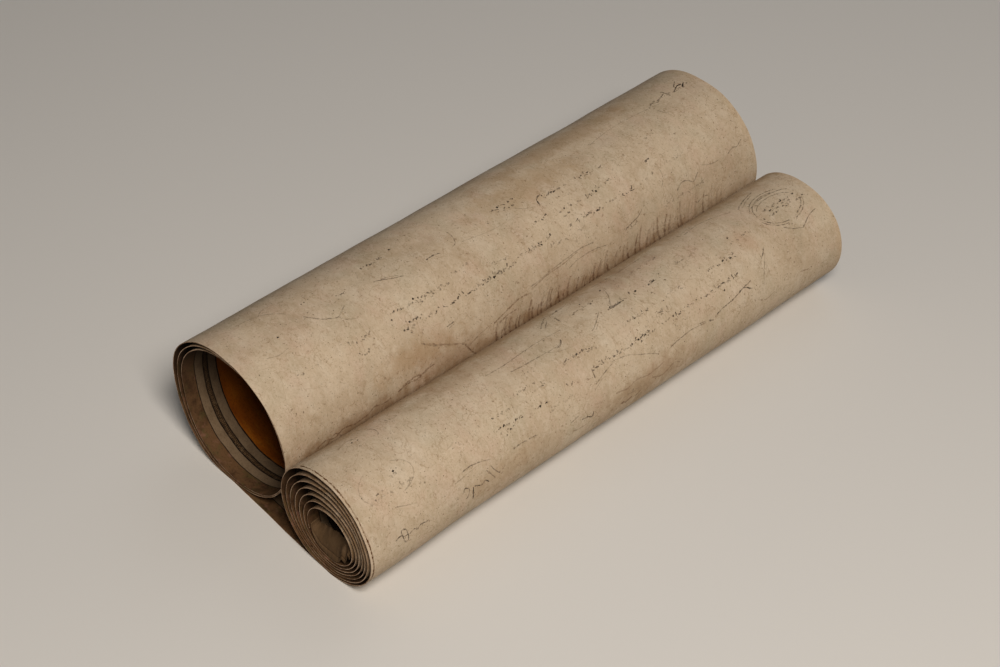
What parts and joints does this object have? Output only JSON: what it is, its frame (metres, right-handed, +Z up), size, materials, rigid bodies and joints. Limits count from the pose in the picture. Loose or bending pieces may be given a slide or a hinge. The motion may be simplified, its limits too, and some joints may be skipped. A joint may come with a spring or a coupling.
{
  "type": "paper scroll",
  "caption": "Long aged paper sheet rolled up from both ends into a large loose roll and a smaller tight one that lie side by side.",
  "frame": {"origin": "under the middle of the whole scroll, on the surface it lies on", "axes": "+X along both rolls, +Y from the small roll to the big one, +Z up"},
  "size_m": [0.427, 0.195, 0.1045],
  "materials": {
    "aged_paper": "matte"
  },
  "bodies": {
    "root": {"scroll_sheet": "aged_paper"}
  },
  "joints": []
}
